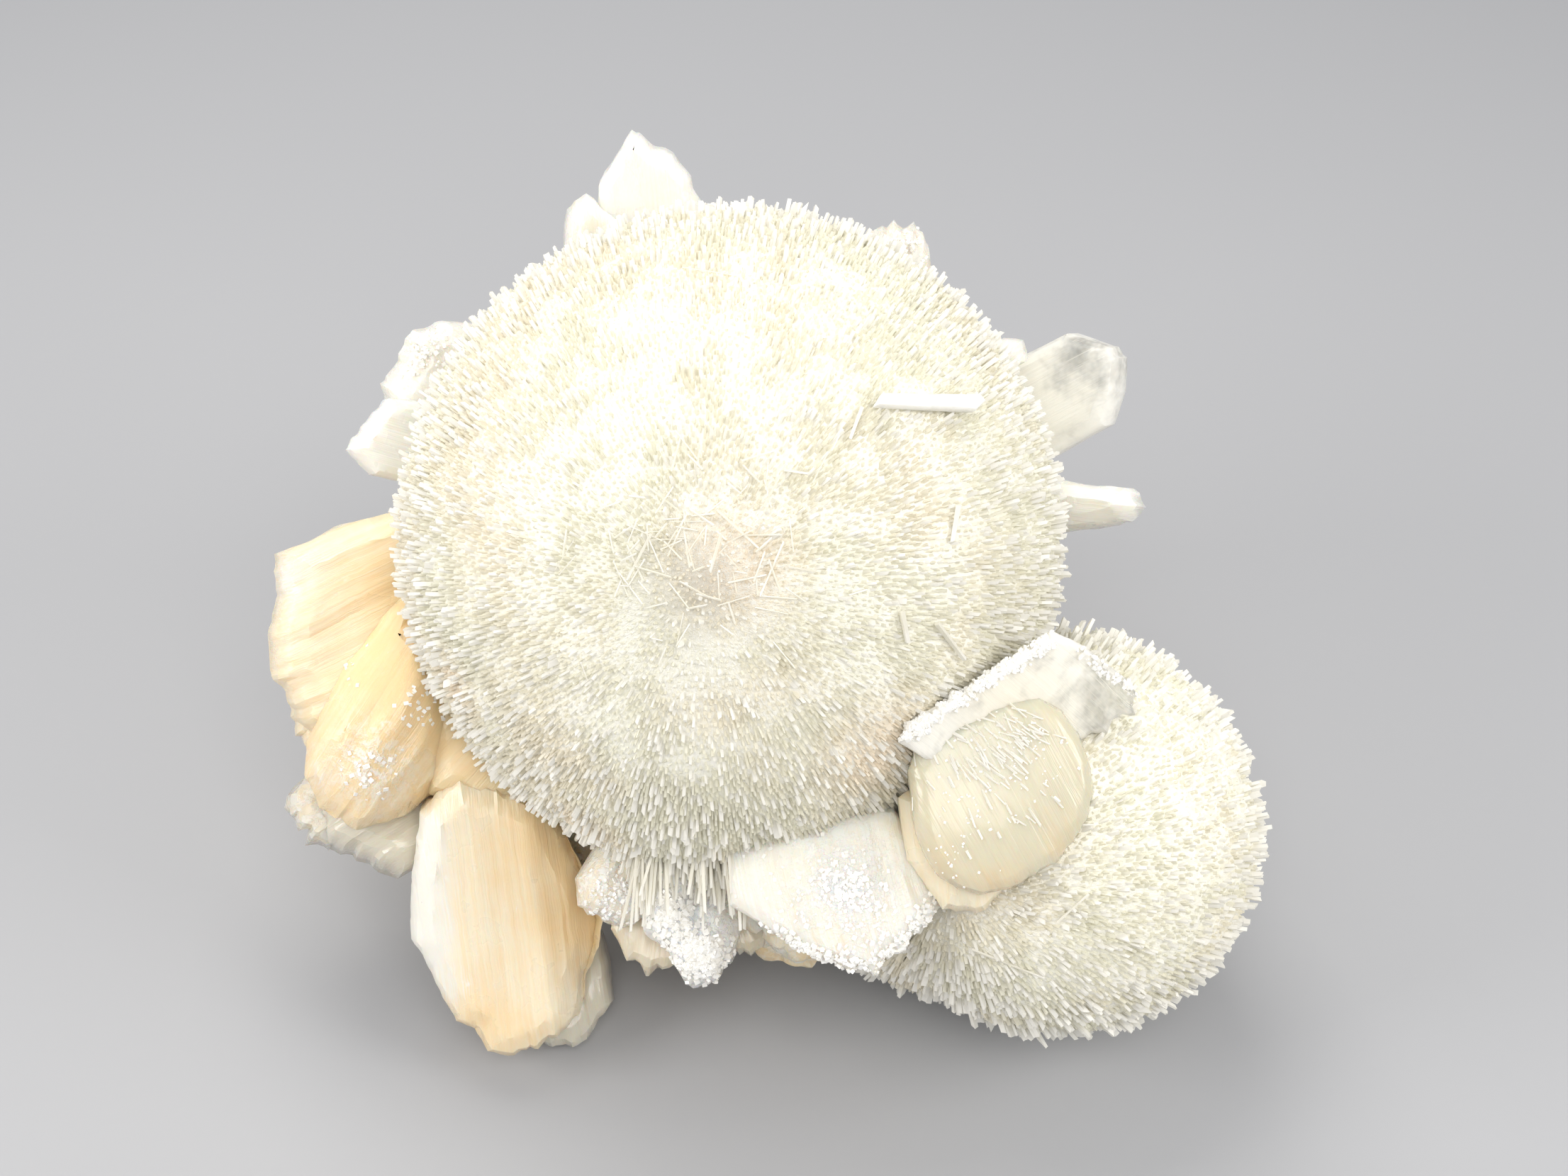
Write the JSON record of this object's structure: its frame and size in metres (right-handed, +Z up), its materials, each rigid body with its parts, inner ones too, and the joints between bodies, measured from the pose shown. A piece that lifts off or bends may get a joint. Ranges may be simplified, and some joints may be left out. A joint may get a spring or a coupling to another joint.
{
  "type": "scolecite mineral specimen on stilbite",
  "caption": "Natural mineral specimen: a large round spray of white needles and a smaller one beside it, grown on a clump of peach and clear bladed crystals, resting on a small flat base.",
  "frame": {"origin": "middle of the bounding box, on the plane that the specimen rests on", "axes": "+Z up, +X to the right along the longest side with the small spray at +X, -Y towards the viewer"},
  "size_m": [0.1042, 0.0846, 0.0797],
  "materials": {
    "scolecite": "white to cream silky needles with glassy square ends",
    "stilbite": "pearly peach to colourless blades, translucent, with fine growth lines along their length"
  },
  "bodies": {
    "root": {"scolecite_main_spray": "scolecite", "scolecite_side_spray": "scolecite", "stilbite_clump": "stilbite"}
  },
  "joints": []
}
